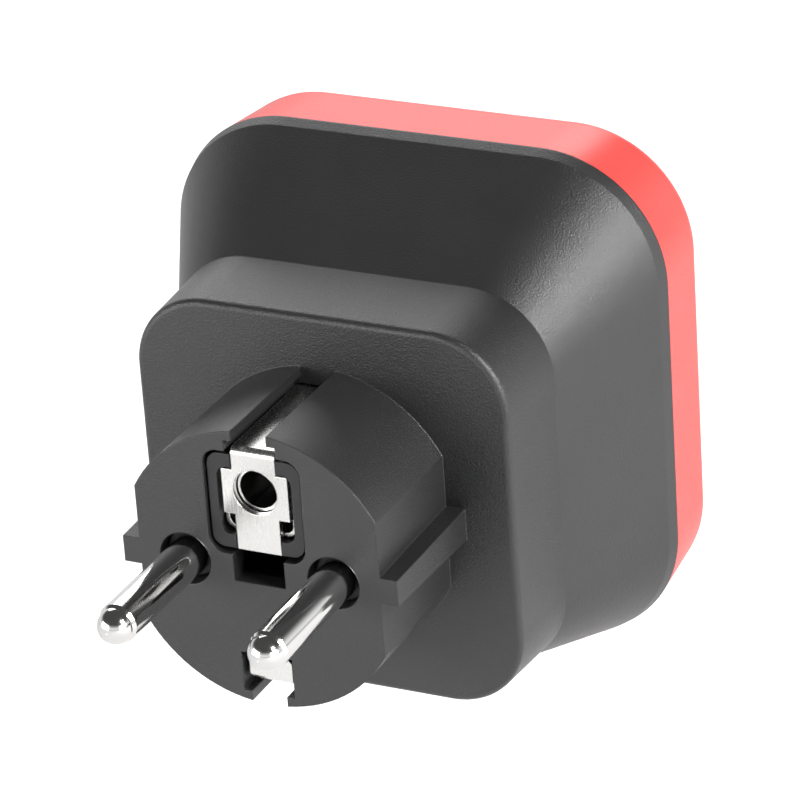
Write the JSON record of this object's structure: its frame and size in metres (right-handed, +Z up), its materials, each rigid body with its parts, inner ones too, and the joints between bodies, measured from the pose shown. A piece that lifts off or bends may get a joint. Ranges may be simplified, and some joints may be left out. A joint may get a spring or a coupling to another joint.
{
  "type": "universal travel adapter",
  "caption": "Travel adapter: earthed round-pin plug with side earth clips and earth socket, square body with a coral ring and a universal outlet behind a sprung shutter.",
  "frame": {"origin": "centre of the plug's face, midway between the two pins", "axes": "+Y from the plug towards the outlet, so the pins point along -Y; +Z up, towards the earth socket; +X to the right seen from the plug side"},
  "size_m": [0.0646, 0.0772, 0.0647],
  "materials": {
    "housing_black": "black polycarbonate, fine spark-eroded texture",
    "ring_coral": "coral-red moulded plastic, satin",
    "face_black": "black polycarbonate, fine spark-eroded texture",
    "insert_black": "black polyamide, smooth",
    "nickel": "bright nickel plate",
    "brass": "plain brass, satin",
    "carrier_grey": "grey polyamide",
    "screw_steel": "zinc-plated steel",
    "shutter_black": "black acetal, smooth",
    "spring_steel": "spring steel wire and strip, bright"
  },
  "bodies": {
    "housing": {"rear_housing": "housing_black", "front_ring": "ring_coral", "outlet_face": "face_black", "line_pin": "nickel", "neutral_pin": "nickel", "line_pin_collar": "insert_black", "neutral_pin_collar": "insert_black", "upper_earth_clip": "nickel", "lower_earth_clip": "nickel", "earth_socket_frame": "insert_black", "earth_pin_sleeve": "nickel", "earth_socket_clip": "spring_steel", "earth_bridge": "brass", "line_busbar": "brass", "neutral_busbar": "brass", "earth_busbar": "brass", "line_contact": "brass", "neutral_contact": "brass", "outlet_earth_contact": "brass", "contact_rivets": "brass", "contact_carrier": "carrier_grey", "insulating_plate": "carrier_grey", "carrier_screws": "screw_steel", "housing_screws": "screw_steel", "line_side_spring": "spring_steel", "neutral_side_spring": "spring_steel"},
    "shutter": {"safety_shutter": "shutter_black"}
  },
  "joints": [
    {"name": "shutter_slide", "type": "slide", "parent": "housing", "child": "shutter", "axis": [0, 0, -1], "range_m": [0, 0.009], "stiffness_N_per_m": 120, "springref_m": -0.004, "deforming": ["line_side_spring", "neutral_side_spring"]}
  ]
}
